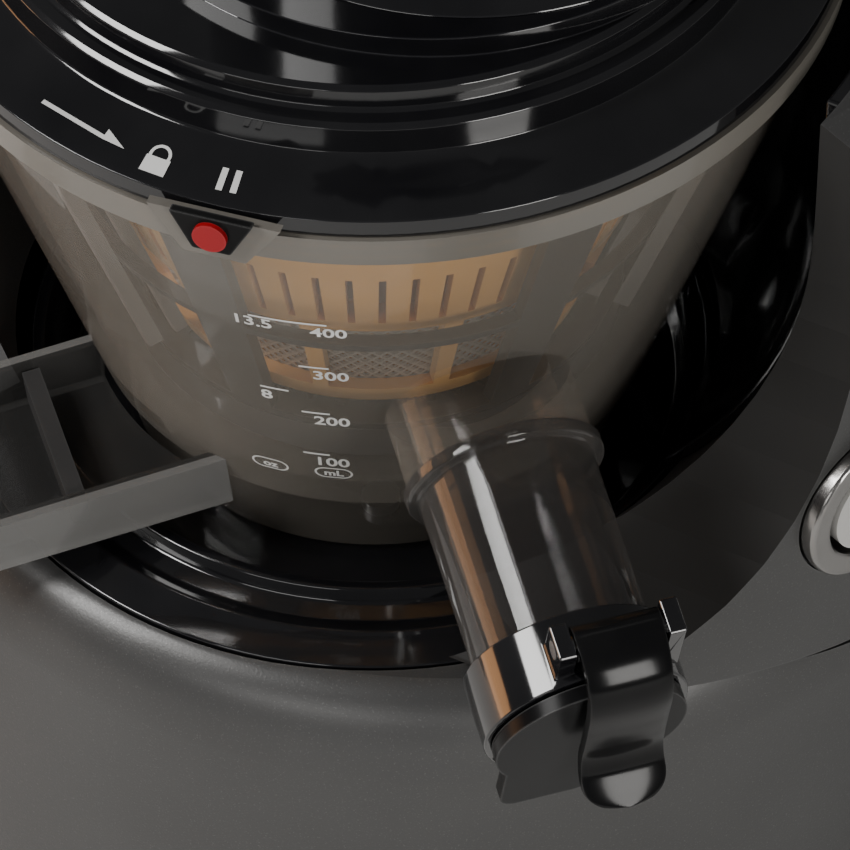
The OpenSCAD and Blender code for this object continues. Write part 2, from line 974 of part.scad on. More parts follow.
module pusher() {
    color("black")
    translate([feed_x, guide_y, 0]) {
        translate([0, 0, feed_z - 65]) cylinder(r1 = 15.5, r2 = guide_r - 0.07, h = 2);
        translate([0, 0, feed_z - 63]) cylinder(r = guide_r - 0.07, h = 73);
        translate([0, 0, feed_z + 9.3]) cylinder(r = 24, h = 4);
        translate([0, 0, feed_z + 13.3]) cylinder(r1 = 24, r2 = 21, h = 10);
        translate([0, 0, feed_z + 23.3]) cylinder(r1 = 21, r2 = 16, h = 2);
    }
}

lower_shell();
upper_housing();
seat_ring();
bay_liner();
bottom_cover();
rubber_feet();
cover_screws();
cord_gland();
handle_insert();
switch_bezel();
switch_body();
switch_rocker();
control_board();
motor_can();
motor_mount();
stator();
motor_bearings();
rotor_core();
rotor_shaft();
cooling_fan();
motor_pinion();
gearbox_base();
gearbox_cover();
gearbox_screws();
layshaft_pin();
reduction_gear();
output_gear();
drive_shaft();
output_bearings();
shaft_seal();
bowl();
bowl_rim();
lock_tab();
red_mark();
bowl_seal();
pulp_chute();
pulp_plug();
juice_spout();
spout_collar();
lever_pin();
spout_lever();
spout_flap();
flap_seal();
strainer_frame();
strainer_mesh();
wiper_frame();
wiper_blades();
idler_pin();
idler_gear();
auger();
auger_gear();
lid();
feed_chute();
lid_hub();
cap_ears();
lid_seal();
lid_bush();
cap_pin();
feed_cap();
pusher();
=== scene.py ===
import math
import bmesh
import bpy
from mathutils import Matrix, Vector


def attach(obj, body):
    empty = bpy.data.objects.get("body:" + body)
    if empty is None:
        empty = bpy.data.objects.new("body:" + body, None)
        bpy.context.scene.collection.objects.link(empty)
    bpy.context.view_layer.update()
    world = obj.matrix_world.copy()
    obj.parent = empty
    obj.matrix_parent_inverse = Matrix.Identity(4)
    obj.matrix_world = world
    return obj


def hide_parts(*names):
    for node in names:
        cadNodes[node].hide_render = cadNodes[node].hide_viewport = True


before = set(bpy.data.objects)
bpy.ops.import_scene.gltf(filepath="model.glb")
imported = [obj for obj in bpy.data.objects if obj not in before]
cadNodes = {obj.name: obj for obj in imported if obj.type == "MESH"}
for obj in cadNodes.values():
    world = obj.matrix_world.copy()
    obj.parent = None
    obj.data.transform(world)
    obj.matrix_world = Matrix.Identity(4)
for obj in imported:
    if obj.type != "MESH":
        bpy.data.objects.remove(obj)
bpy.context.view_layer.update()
mm = 0.001  # one millimetre in metres
print("frame loaded with", len(cadNodes), "nodes")


# a socket that can be used in plain arithmetic; each step adds its Math node
class Value:
    def __init__(self, tree, socket):
        self.tree = tree
        self.socket = socket

    def step(self, operation, *others, clamp=False):
        mathNode = self.tree.nodes.new("ShaderNodeMath")
        mathNode.operation = operation
        mathNode.use_clamp = clamp
        for index, item in enumerate((self,) + others):
            if isinstance(item, Value):
                self.tree.links.new(item.socket, mathNode.inputs[index])
            else:
                mathNode.inputs[index].default_value = item
        return Value(self.tree, mathNode.outputs[0])

    def flipped(self, operation, other):
        mathNode = self.tree.nodes.new("ShaderNodeMath")
        mathNode.operation = operation
        mathNode.inputs[0].default_value = other
        self.tree.links.new(self.socket, mathNode.inputs[1])
        return Value(self.tree, mathNode.outputs[0])

    def __add__(self, other):
        return self.step("ADD", other)

    def __radd__(self, other):
        return self.step("ADD", other)

    def __sub__(self, other):
        return self.step("SUBTRACT", other)

    def __rsub__(self, other):
        return self.flipped("SUBTRACT", other)

    def __mul__(self, other):
        return self.step("MULTIPLY", other)

    def __rmul__(self, other):
        return self.step("MULTIPLY", other)

    def __truediv__(self, other):
        return self.step("DIVIDE", other)

    def __gt__(self, other):
        return self.step("GREATER_THAN", other)

    def __lt__(self, other):
        return self.step("LESS_THAN", other)

    def __abs__(self):
        return self.step("ABSOLUTE")

    # 0 below low, 1 above high, a straight slope between
    def ramp(self, low, high):
        return ((self - low) / (high - low)).step("MULTIPLY", 1.0, clamp=True)


# one material, built node by node
class Finish:
    def __init__(self, name):
        self.material = bpy.data.materials.new(name)
        self.material.use_nodes = True
        self.tree = self.material.node_tree
        self.tree.nodes.clear()
        self.output = self.tree.nodes.new("ShaderNodeOutputMaterial")
        self.shader = self.tree.nodes.new("ShaderNodeBsdfPrincipled")
        self.tree.links.new(self.shader.outputs[0], self.output.inputs["Surface"])
        where = self.tree.nodes.new("ShaderNodeTexCoord")
        self.place = Value(self.tree, where.outputs["Object"])
        self.normal = Value(self.tree, where.outputs["Normal"])

    # settings are set first, then the sockets, by name or number
    def node(self, kind, settings=None, sockets=None, out=0):
        made = self.tree.nodes.new(kind)
        for key, setting in (settings or {}).items():
            setattr(made, key, setting)
        for key, item in (sockets or {}).items():
            if isinstance(item, Value):
                self.tree.links.new(item.socket, made.inputs[key])
            else:
                made.inputs[key].default_value = item
        return Value(self.tree, made.outputs[out])

    def constant(self, **values):
        for key, item in values.items():
            self.shader.inputs[key.replace("_", " ")].default_value = item

    def feed(self, name, item):
        self.tree.links.new(item.socket, self.shader.inputs[name])

    def stretch(self, scale):
        return self.node("ShaderNodeMapping", None, {"Vector": self.place, "Scale": scale})

    def noise(self, scale, detail=2.0, rough=0.5, at=None):
        return self.node("ShaderNodeTexNoise", None, {
            "Vector": at or self.place, "Scale": scale, "Detail": detail, "Roughness": rough})

    def axes(self, vector=None):
        parts = self.tree.nodes.new("ShaderNodeSeparateXYZ")
        self.tree.links.new((vector or self.place).socket, parts.inputs[0])
        return [Value(self.tree, parts.outputs[i]) for i in range(3)]

    def blend(self, factor, first, second):
        mixer = self.tree.nodes.new("ShaderNodeMix")
        mixer.data_type = "RGBA"
        for key, item in ((0, factor), (6, first), (7, second)):
            if isinstance(item, Value):
                self.tree.links.new(item.socket, mixer.inputs[key])
            elif key == 0:
                mixer.inputs[key].default_value = item
            else:
                mixer.inputs[key].default_value = (*item, 1)
        return Value(self.tree, mixer.outputs[2])

    # a light rub along sharp edges, from the rounded normal against the true one
    def edges(self, radius):
        rounded = self.node("ShaderNodeBevel", {"samples": 4}, {"Radius": radius})
        flat = self.node("ShaderNodeNewGeometry", None, None, 1)
        facing = self.node("ShaderNodeVectorMath", {"operation": "DOT_PRODUCT"},
                           {0: rounded, 1: flat}, 1)
        return (1 - facing).ramp(0.02, 0.3)

    def bump(self, height, strength, distance):
        self.feed("Normal", self.node("ShaderNodeBump", None, {
            "Height": height, "Strength": strength, "Distance": distance}))


# moulded plastic, rubber and plain metal share one recipe: grain, faint mottling, rubbed edges
def mouldedFinish(name, look):
    finish = Finish(name)
    mottle = finish.noise(look.get("mottleScale", 45), 3)
    grain = finish.noise(look["grainScale"], 2, 0.6, finish.stretch(look.get("stretch", (1, 1, 1))))
    worn = finish.edges(look.get("edge", 0.0006))
    tone = finish.blend(mottle.ramp(0.3, 0.7), look["dark"], look["light"])
    tone = finish.blend(worn * look.get("wear", 0.35), tone, look["rubbed"])
    finish.feed("Base Color", tone)
    rough = look["rough"] + (mottle - 0.5) * look.get("roughSpread", 0.1)
    finish.feed("Roughness", rough + (grain - 0.5) * look.get("grainRough", 0.08))
    finish.bump(grain, look.get("bump", 0.2), look.get("depth", 0.0001))
    finish.constant(Metallic=look.get("metal", 0.0))
    finish.constant(**look.get("extra", {}))
    return finish.material


finishLooks = {
    "darkPlastic": {"dark": (0.018, 0.018, 0.019), "light": (0.03, 0.03, 0.031), "rubbed": (0.09, 0.09, 0.09),
                    "rough": 0.5, "grainScale": 1800, "bump": 0.35},
    "rubberBlack": {"dark": (0.012, 0.012, 0.012), "light": (0.026, 0.025, 0.025),
                    "rubbed": (0.07, 0.07, 0.07), "rough": 0.78, "grainScale": 900, "bump": 0.4},
    "glossBlack": {"dark": (0.004, 0.004, 0.005), "light": (0.009, 0.009, 0.01),
                   "rubbed": (0.05, 0.05, 0.055),
                   "rough": 0.09, "roughSpread": 0.06, "grainScale": 260, "grainRough": 0.02, "bump": 0.03,
                   "wear": 0.5, "extra": {"Coat_Weight": 0.35, "Coat_Roughness": 0.04}},
    "satinBlack": {"dark": (0.004, 0.004, 0.0045), "light": (0.009, 0.009, 0.009),
                   "rubbed": (0.06, 0.06, 0.06),
                   "rough": 0.16, "roughSpread": 0.06, "grainScale": 420, "grainRough": 0.03, "bump": 0.04,
                   "wear": 0.6, "extra": {"Specular_IOR_Level": 0.2}},
    "mattBlack": {"dark": (0.005, 0.005, 0.0055), "light": (0.011, 0.011, 0.011), "rubbed": (0.1, 0.1, 0.1),
                  "rough": 0.24, "roughSpread": 0.06, "grainScale": 520, "grainRough": 0.04, "bump": 0.06,
                  "wear": 0.8, "extra": {"Specular_IOR_Level": 0.07}},
    "steelBrushed": {"dark": (0.42, 0.42, 0.43), "light": (0.58, 0.58, 0.59), "rubbed": (0.75, 0.75, 0.76),
                     "rough": 0.3, "grainScale": 1500, "stretch": (1, 1, 0.06), "metal": 1.0, "bump": 0.25},
    "brightTrim": {"dark": (0.3, 0.29, 0.28), "light": (0.38, 0.37, 0.36), "rubbed": (0.7, 0.69, 0.67),
                   "rough": 0.24, "grainScale": 1200, "stretch": (0.1, 1, 1), "metal": 1.0, "bump": 0.08},
    "lightPlastic": {"dark": (0.5, 0.49, 0.47), "light": (0.58, 0.57, 0.55), "rubbed": (0.7, 0.7, 0.68),
                     "rough": 0.36, "grainScale": 1500, "bump": 0.12},
    "gearPlastic": {"dark": (0.6, 0.56, 0.46), "light": (0.7, 0.66, 0.56), "rubbed": (0.8, 0.77, 0.7),
                    "rough": 0.45, "grainScale": 1300, "bump": 0.15},
    "boardGreen": {"dark": (0.01, 0.09, 0.035), "light": (0.02, 0.14, 0.05), "rubbed": (0.3, 0.3, 0.2),
                   "rough": 0.35, "grainScale": 500, "bump": 0.3},
    "winding": {"dark": (0.22, 0.08, 0.03), "light": (0.42, 0.17, 0.06), "rubbed": (0.6, 0.34, 0.2),
                "rough": 0.36, "grainScale": 700, "stretch": (1, 1, 0.1), "metal": 0.8, "bump": 0.5},
    "silicone": {"dark": (0.16, 0.155, 0.15), "light": (0.24, 0.235, 0.23), "rubbed": (0.36, 0.36, 0.35),
                 "rough": 0.5, "grainScale": 700, "bump": 0.2},
    "redMark": {"dark": (0.24, 0.003, 0.006), "light": (0.34, 0.006, 0.01), "rubbed": (0.5, 0.05, 0.06),
                "rough": 0.24, "grainScale": 900, "bump": 0.1, "extra": {"Specular_IOR_Level": 0.3}},
    "markWhite": {"dark": (0.62, 0.62, 0.61), "light": (0.76, 0.76, 0.75), "rubbed": (0.8, 0.8, 0.8),
                  "rough": 0.5, "grainScale": 2600, "bump": 0.1, "wear": 0.0},
}
finishes = {name: mouldedFinish(name, look) for name, look in finishLooks.items()}


# fine metallic grain outside; the scooped cheeks that face the bowl get a darker, duller copy of the same
# shell, painted shade
shellLook = {
    "dark": (0.074, 0.0735, 0.073), "light": (0.097, 0.0965, 0.096), "fleck": (0.2, 0.198, 0.196),
    # the cheek colours, roughness and shine below make a shaded copy of the shell: painted shade
    "rough": 0.4, "cheekShadeDark": (0.014, 0.0135, 0.013), "cheekShadeLight": (0.024, 0.023, 0.022),
    "cheekRough": 0.48, "cheekShine": 0.3, "cheekFoot": 0.1775,
}


def shellFinish(name, withShadedCheeks):
    finish = Finish(name)
    mottle = finish.noise(14, 4)
    grain = finish.noise(2400, 2, 0.65)
    fleck = finish.noise(3300, 1).ramp(0.62, 0.78)
    tone = finish.blend(mottle.ramp(0.3, 0.7), shellLook["dark"], shellLook["light"])
    tone = finish.blend(fleck * 0.4, tone, shellLook["fleck"])
    tone = finish.blend(finish.edges(0.0008) * 0.25, tone, shellLook["fleck"])
    finish.feed("Base Color", tone)
    finish.feed("Roughness", shellLook["rough"] + (mottle - 0.5) * 0.1 + (grain - 0.5) * 0.12)
    finish.feed("Metallic", 0.6 + (mottle - 0.5) * 0.1)
    finish.bump(grain, 0.3, 0.00008)
    if withShadedCheeks:
        across, forward = finish.axes(finish.normal)[:2]
        height = finish.axes()[2]
        # painted shade: surfaces facing forward above the seat get a darker, less shiny copy of the shell
        cheekShadeMask = (abs(across) < 0.35) * (forward < -0.02) * (height > shellLook["cheekFoot"])
        dark = finish.tree.nodes.new("ShaderNodeBsdfPrincipled")
        dark.inputs["Specular IOR Level"].default_value = shellLook["cheekShine"]
        shade = finish.blend(mottle.ramp(0.3, 0.7), shellLook["cheekShadeDark"], shellLook["cheekShadeLight"])
        finish.tree.links.new(shade.socket, dark.inputs["Base Color"])
        rough = shellLook["cheekRough"] + (grain - 0.5) * 0.1
        finish.tree.links.new(rough.socket, dark.inputs["Roughness"])
        shell, shadedCopy = (Value(finish.tree, shader.outputs[0]) for shader in (finish.shader, dark))
        both = finish.node("ShaderNodeMixShader", None, {0: cheekShadeMask, 1: shell, 2: shadedCopy})
        finish.tree.links.new(both.socket, finish.output.inputs["Surface"])
    return finish.material


# clear moulding that darkens where it is seen edge on
clearLooks = {
    "smokedClear": {"tint": (0.16, 0.142, 0.118), "edge": (0.4, 0.37, 0.325), "alpha": 0.1, "rim": 0.36,
                    "rough": 0.05},
    "smokedSpout": {"tint": (0.02, 0.018, 0.017), "edge": (0.12, 0.115, 0.11), "alpha": 0.4, "rim": 0.42,
                    "rough": 0.05},
    "smokedChute": {"tint": (0.014, 0.0135, 0.013), "edge": (0.12, 0.118, 0.115), "alpha": 0.55, "rim": 0.3,
                    "rough": 0.12, "wallReflection": (0.2, 0.197, 0.19), "middle": 0.017, "inside": 0.0155},
    "frostedRim": {"tint": (0.13, 0.118, 0.102), "edge": (0.26, 0.245, 0.215), "alpha": 0.88, "rim": 0.1,
                   "rough": 0.34},
    "amber": {"tint": (0.92, 0.42, 0.1), "edge": (0.95, 0.6, 0.25), "alpha": 0.94, "rim": 0.05,
              "rough": 0.18},
}


def clearFinish(name):
    look = clearLooks[name]
    finish = Finish(name)
    haze = finish.noise(38, 4)
    fine = finish.noise(900, 2)
    grazing = finish.node("ShaderNodeLayerWeight", None, {"Blend": 0.35}, 1)
    tone = finish.blend(grazing, look["tint"], look["edge"])
    if "wallReflection" in look:  # the chute's outer walls are painted a lighter grey, a painted reflection; its inside keeps the dark tint
        x, y = finish.axes()[:2]
        across = (x - y) * math.sin(math.radians(45))
        tone = finish.blend(abs(across - look["middle"]) > look["inside"], tone, look["wallReflection"])
    finish.feed("Base Color", tone)
    finish.feed("Roughness", look["rough"] + (haze - 0.5) * 0.05 + (fine - 0.5) * 0.02)
    finish.feed("Alpha", look["alpha"] + grazing * look["rim"] + (haze - 0.5) * 0.06)
    finish.bump(haze, 0.04, 0.0004)
    finish.constant(IOR=1.5, Coat_Weight=0.2, Coat_Roughness=0.03)
    return finish.material


# woven wire: two crossed sets of fine lines that slant round the cone
meshLook = {"dark": (0.5, 0.46, 0.4), "light": (0.66, 0.61, 0.53), "round": 100, "upward": 2400}


def meshFinish(name):
    finish = Finish(name)
    x, y, z = finish.axes()
    around = y.step("ARCTAN2", x) * meshLook["round"]
    rising = (around + z * meshLook["upward"]).step("SINE").ramp(0.2, 0.6)
    falling = (around - z * meshLook["upward"]).step("SINE").ramp(0.2, 0.6)
    wire = rising.step("MAXIMUM", falling)
    grain = finish.noise(60, 3)
    finish.feed("Base Color", finish.blend(grain.ramp(0.3, 0.7), meshLook["dark"], meshLook["light"]))
    finish.feed("Alpha", wire)
    finish.feed("Roughness", 0.3 + (grain - 0.5) * 0.1)
    finish.constant(Metallic=0.4)
    finish.bump(wire, 0.4, 0.0002)
    return finish.material


finishes["shellGrey"] = shellFinish("shellGrey", False)
finishes["housingGrey"] = shellFinish("housingGrey", True)
finishes["wireMesh"] = meshFinish("wireMesh")
for clearName in clearLooks:
    finishes[clearName] = clearFinish(clearName)
print("finishes made:", len(finishes))

nodeFinish = {
    "lower_shell": "shellGrey", "upper_housing": "housingGrey",
    "seat_ring": "glossBlack", "bay_liner": "glossBlack",
    "bottom_cover": "darkPlastic", "rubber_feet": "rubberBlack", "cover_screws": "steelBrushed",
    "cord_gland": "rubberBlack", "handle_insert": "darkPlastic", "switch_bezel": "brightTrim",
    "switch_body": "darkPlastic", "switch_rocker": "lightPlastic", "control_board": "boardGreen",
    "motor_can": "steelBrushed", "motor_mount": "rubberBlack",
    "stator": "winding", "motor_bearings": "steelBrushed", "rotor_core": "winding",
    "rotor_shaft": "steelBrushed", "cooling_fan": "lightPlastic", "motor_pinion": "steelBrushed",
    "gearbox_base": "darkPlastic", "gearbox_cover": "darkPlastic", "gearbox_screws": "steelBrushed",
    "layshaft_pin": "steelBrushed", "reduction_gear": "gearPlastic", "output_gear": "gearPlastic",
    "drive_shaft": "steelBrushed", "output_bearings": "steelBrushed", "shaft_seal": "rubberBlack",
    "bowl": "smokedClear", "bowl_rim": "frostedRim", "lock_tab": "mattBlack", "red_mark": "redMark",
    "bowl_seal": "silicone", "pulp_chute": "smokedChute", "pulp_plug": "rubberBlack",
    "juice_spout": "smokedSpout", "spout_collar": "glossBlack", "lever_pin": "steelBrushed",
    "spout_lever": "satinBlack", "spout_flap": "mattBlack", "flap_seal": "silicone",
    "strainer_frame": "amber", "strainer_mesh": "wireMesh", "wiper_frame": "darkPlastic",
    "wiper_blades": "silicone", "idler_pin": "steelBrushed", "idler_gear": "gearPlastic",
    "auger": "amber", "auger_gear": "gearPlastic", "lid": "glossBlack", "feed_chute": "glossBlack",
    "lid_hub": "glossBlack", "cap_ears": "glossBlack", "lid_seal": "silicone",
    "lid_bush": "gearPlastic", "cap_pin": "steelBrushed", "feed_cap": "glossBlack", "pusher": "glossBlack",
}
# rounding of the moulded edges, in millimetres
edgeRound = {
    "lower_shell": 1.5, "upper_housing": 1.5, "seat_ring": 0.4, "bay_liner": 0.5, "feed_chute": 0.8,
    "cap_ears": 0.6, "switch_bezel": 0.8, "switch_rocker": 0.9, "rubber_feet": 0.5, "cord_gland": 0.5,
    "handle_insert": 0.8, "spout_collar": 0.6, "spout_lever": 0.6, "spout_flap": 0.5, "lid": 0.6,
    "feed_cap": 0.8, "pusher": 1.2, "bowl": 0.6, "bowl_rim": 0.8, "juice_spout": 0.5, "pulp_chute": 0.8,
    "lock_tab": 0.3,
}


def soften(piece, width):
    weld = piece.modifiers.new("join", "WELD")
    weld.merge_threshold = 0.00001
    bevel = piece.modifiers.new("round", "BEVEL")
    bevel.width = width * mm
    bevel.segments = 3
    bevel.limit_method = "ANGLE"
    bevel.angle_limit = math.radians(32)
    bevel.use_clamp_overlap = True
    bevel.harden_normals = False
    tidy = piece.modifiers.new("shade", "WEIGHTED_NORMAL")
    tidy.keep_sharp = True


for nodeName, finishName in nodeFinish.items():
    piece = cadNodes[nodeName]
    piece.data.materials.clear()
    piece.data.materials.append(finishes[finishName])
    if nodeName in edgeRound:
        soften(piece, edgeRound[nodeName])
print("nodes finished:", len(nodeFinish))

# printed marks on the bowl and lid
bowlCone = {"footZ": 190 * mm, "footR": 47 * mm, "topZ": 276 * mm, "topR": 74 * mm}


def coneRadius(z):
    share = (z - bowlCone["footZ"]) / (bowlCone["topZ"] - bowlCone["footZ"])
    return bowlCone["footR"] + share * (bowlCone["topR"] - bowlCone["footR"])


def place(mesh, name, finish, body):
    piece = bpy.data.objects.new(name, mesh)
    bpy.context.scene.collection.objects.link(piece)
    mesh.materials.clear()
    mesh.materials.append(finishes[finish])
    for face in mesh.polygons:
        face.use_smooth = True
    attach(piece, body)
    return piece


# bends a flat drawing onto the bowl's cone: x along the arc, y up the wall
def wrapOnBowl(points, turn, level, lift=0.00012):
    slope = math.atan2(bowlCone["topR"] - bowlCone["footR"], bowlCone["topZ"] - bowlCone["footZ"])
    wrapped = []
    for x, y in points:
        z = level + y * math.cos(slope)
        radius = coneRadius(z) + lift
        angle = turn + x / radius
        wrapped.append((radius * math.sin(angle), -radius * math.cos(angle), z))
    return wrapped


# amount, level, turn from the front in degrees, where its stroke starts
scaleMarks = {
    "size": 4.2 * mm, "widen": 0.92, "bold": 0.09 * mm, "stroke": 0.55 * mm, "strokeRise": 2.5 * mm,
    "ml": ((400, 250.8, 22.4, -12.5), (300, 235.9, 22.1, -4.9), (200, 219.8, 21.6, -4.7),
           (100, 204.9, 20.8, -4.5)),
    "oz": (("13", "13.5", 251.2, 12.0, -1.4, None), ("8", "8", 226.4, 11.7, -1.6, (-0.8, 3.8))),
    "units": (("mL", 20.9, 200.8), ("oz", 9.0, 200.4)), "unitSize": 2.7 * mm,
}


def flatText(text, size):
    curve = bpy.data.curves.new("drawing", "FONT")
    curve.body = text
    curve.size = size
    curve.align_x = "CENTER"
    curve.resolution_u = 3
    curve.offset = scaleMarks["bold"]
    helper = bpy.data.objects.new("drawing", curve)
    bpy.context.scene.collection.objects.link(helper)
    bpy.context.view_layer.update()
    mesh = bpy.data.meshes.new_from_object(helper.evaluated_get(bpy.context.evaluated_depsgraph_get()))
    points = [(v.co.x * scaleMarks["widen"], v.co.y) for v in mesh.vertices]
    faces = [tuple(f.vertices) for f in mesh.polygons]
    bpy.data.objects.remove(helper)
    bpy.data.curves.remove(curve)
    bpy.data.meshes.remove(mesh)
    return points, faces


def flatBar(x0, x1, y, thick):
    steps = 8
    points = []
    for i in range(steps + 1):
        x = x0 + (x1 - x0) * i / steps
        points += [(x, y - thick / 2), (x, y + thick / 2)]
    return points, [(2 * i, 2 * i + 2, 2 * i + 3, 2 * i + 1) for i in range(steps)]


# a rounded ring outline round the unit names
def flatPill(wide, high, thick):
    points, faces, count = [], [], 40
    for i in range(count):
        angle = 2 * math.pi * i / count
        push = max(0, wide - high) / 2 * (1 if math.cos(angle) > 0 else -1)
        for radius in (high / 2, high / 2 - thick):
            points.append((push + radius * math.cos(angle), radius * math.sin(angle)))
    for i in range(count):
        j = (i + 1) % count
        faces.append((2 * i, 2 * j, 2 * j + 1, 2 * i + 1))
    return points, faces


def joinDrawings(drawings):
    points, faces = [], []
    for (part, partFaces), (dx, dy) in drawings:
        start = len(points)
        points += [(x + dx, y + dy) for x, y in part]
        faces += [tuple(i + start for i in face) for face in partFaces]
    return points, faces


def bowlMark(name, drawings, turn, level):
    points, faces = joinDrawings(drawings)
    mesh = bpy.data.meshes.new(name)
    mesh.from_pydata(wrapOnBowl(points, math.radians(turn), level), [], faces)
    return place(mesh, name, "markWhite", "bowl_set")


for amount, level, turn, barStart in scaleMarks["ml"]:
    bowlMark(f"mark_{amount}", [
        (flatText(str(amount), scaleMarks["size"]), (0, -1.6 * mm)),
        (flatBar(barStart * mm, -0.2 * mm, 0, scaleMarks["stroke"]), (0, scaleMarks["strokeRise"])),
    ], turn, level * mm)
for key, amount, level, turn, drop, stroke in scaleMarks["oz"]:
    drawings = [(flatText(amount, scaleMarks["size"]), (0, drop * mm))]
    if stroke:
        line = flatBar(stroke[0] * mm, stroke[1] * mm, 0, scaleMarks["stroke"])
        drawings.append((line, (0, scaleMarks["strokeRise"])))
    bowlMark(f"mark_{key}", drawings, turn, level * mm)
for unit, turn, level in scaleMarks["units"]:
    bowlMark(f"mark_unit_{unit}", [
        (flatText(unit, scaleMarks["unitSize"]), (0, -0.95 * mm)),
        (flatPill(6.2 * mm, 3.7 * mm, 0.35 * mm), (0, 0)),
    ], turn, level * mm)
print("bowl marks printed")

# lock signs printed on the lid's sloping band: an arrow, a closed padlock and two bars
lidBand = {"innerR": 65.2 * mm, "innerZ": 288.4 * mm, "outerR": 74.4 * mm, "outerZ": 286 * mm,
           "middle": 71.4 * mm, "lift": 0.15 * mm}


def lidMark(name, drawings, turn):
    points, faces = joinDrawings(drawings)
    fall = (lidBand["innerZ"] - lidBand["outerZ"]) / (lidBand["outerR"] - lidBand["innerR"])
    wrapped = []
    for x, y in points:
        radius = lidBand["middle"] + y
        angle = math.radians(turn) + x / lidBand["middle"]
        z = lidBand["innerZ"] - (radius - lidBand["innerR"]) * fall + lidBand["lift"]
        wrapped.append((radius * math.sin(angle), -radius * math.cos(angle), z))
    mesh = bpy.data.meshes.new(name)
    mesh.from_pydata(wrapped, [], [tuple(reversed(face)) for face in faces])
    return place(mesh, name, "markWhite", "lid_set")


def flatShape(outline):
    return [(x * mm, y * mm) for x, y in outline], [tuple(range(len(outline)))]


arrow = flatShape([(-10, -0.35), (2, -0.35), (2, -1.5), (6, 0.35), (2, 0.35), (-10, 0.35)])
lockBody = flatShape([(-2, -0.4), (2, -0.4), (2, 2.4), (-2, 2.4)])
bar = flatShape([(-0.5, -1.9), (0.5, -1.9), (0.5, 1.9), (-0.5, 1.9)])
lidMark("mark_arrow", [(arrow, (0, 0))], -7.6)
lidMark("mark_lock", [(lockBody, (0, 0)), (flatPill(3 * mm, 3.6 * mm, 0.5 * mm), (0, -0.8 * mm))], 1.7)
lidMark("mark_bars", [(bar, (-1.1 * mm, 0)), (bar, (1.1 * mm, 0))], 11.0)
print("lid marks printed")

# spout strap: a moulded band from the hinge over the flap, ending in a rounded thumb tab
strap = {"left": -3.0, "right": 11.0, "thick": 2.4, "tipRound": 6.0, "waist": 0.07,
         "hinge": (40, 19.8), "barrel": 2.8, "across": 12, "edgeRound": 0.35,
         "line": [(40, 21.4), (43.8, 20.9), (47.3, 18.4), (49, 14.4), (49.4, 8), (49.6, 3), (49.9, -1),
                  (51.2, -4.2), (53.6, -6.5), (56.6, -8.6)]}
spoutPlace = {"turn": 45.5, "slope": 16.7, "out": 67.7, "up": 218.5}


# from the spout's own axes (out, sideways, up) to the frame's
def fromSpout(x, y, z):
    slope = math.radians(spoutPlace["slope"])
    turned = math.radians(spoutPlace["turn"] - 90)
    out = x * math.cos(slope) + z * math.sin(slope) + spoutPlace["out"]
    high = -x * math.sin(slope) + z * math.cos(slope) + spoutPlace["up"]
    return Vector((out * math.cos(turned) - y * math.sin(turned),
                   out * math.sin(turned) + y * math.cos(turned), high)) * mm


def smoothLine(points, steps):
    line = []
    for i in range(len(points) - 1):
        before, start = Vector(points[max(i - 1, 0)]), Vector(points[i])
        end, after = Vector(points[i + 1]), Vector(points[min(i + 2, len(points) - 1)])
        for k in range(steps):
            t = k / steps
            line.append(0.5 * ((2 * start) + (end - before) * t
                               + (2 * before - 5 * start + 4 * end - after) * t * t
                               + (3 * start - before - 3 * end + after) * t ** 3))
    return line + [Vector(points[-1])]


def buildStrap():
    line = smoothLine(strap["line"], 12)
    lengths = [0.0]
    for i in range(1, len(line)):
        lengths.append(lengths[-1] + (line[i] - line[i - 1]).length)
    middle = (strap["left"] + strap["right"]) / 2
    half = (strap["right"] - strap["left"]) / 2
    body = bmesh.new()
    across = strap["across"]
    rows = []
    for i, point in enumerate(line):
        ahead = line[min(i + 1, len(line) - 1)] - line[max(i - 1, 0)]
        outward = Vector((-ahead.y, ahead.x)).normalized() * strap["thick"] / 2
        if outward.x < 0 and i > 16:
            outward.negate()
        left = lengths[-1] - lengths[i]
        wide = half * (1 - strap["waist"] * math.sin(math.pi * lengths[i] / lengths[-1]))
        if left < strap["tipRound"]:
            wide *= max(0.004, 1 - (1 - left / strap["tipRound"]) ** 2.5) ** 0.4
        row = []
        for side in (1, -1):
            for k in range(across + 1):
                share = (k / across * 2 - 1) * side
                crown = 0.5 * (1 - share * share)
                shift = outward * (side * (1 - 0.25 * share ** 4) + crown * 0.35)
                spot = point + shift
                row.append(body.verts.new(fromSpout(spot.x, middle + share * wide, spot.y)))
        rows.append(row)
    for first, second in zip(rows, rows[1:]):
        count = len(first)
        for k in range(count):
            body.faces.new((first[k], first[(k + 1) % count], second[(k + 1) % count], second[k]))
    body.faces.new(rows[0][::-1])
    body.faces.new(rows[-1])
    (hingeOut, hingeUp), barrel, sides = strap["hinge"], strap["barrel"], 32
    ring = []
    for y in (strap["left"], strap["right"]):
        angles = [2 * math.pi * k / sides for k in range(sides)]
        circle = [(hingeOut + barrel * math.cos(a), hingeUp + barrel * math.sin(a)) for a in angles]
        ring.append([body.verts.new(fromSpout(out, y, high)) for out, high in circle])
    for k in range(sides):
        after = (k + 1) % sides
        body.faces.new((ring[0][k], ring[1][k], ring[1][after], ring[0][after]))
    body.faces.new(ring[0])
    body.faces.new(ring[1][::-1])
    bmesh.ops.recalc_face_normals(body, faces=body.faces)
    mesh = bpy.data.meshes.new("thumb_strap")
    body.to_mesh(mesh)
    body.free()
    piece = place(mesh, "thumb_strap", "satinBlack", "spout_door")
    finer = piece.modifiers.new("round", "BEVEL")
    finer.width = strap["edgeRound"] * mm
    finer.segments = 2
    finer.limit_method = "ANGLE"
    finer.angle_limit = math.radians(50)
    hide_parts("spout_lever")
    return piece


buildStrap()
print("spout strap built")

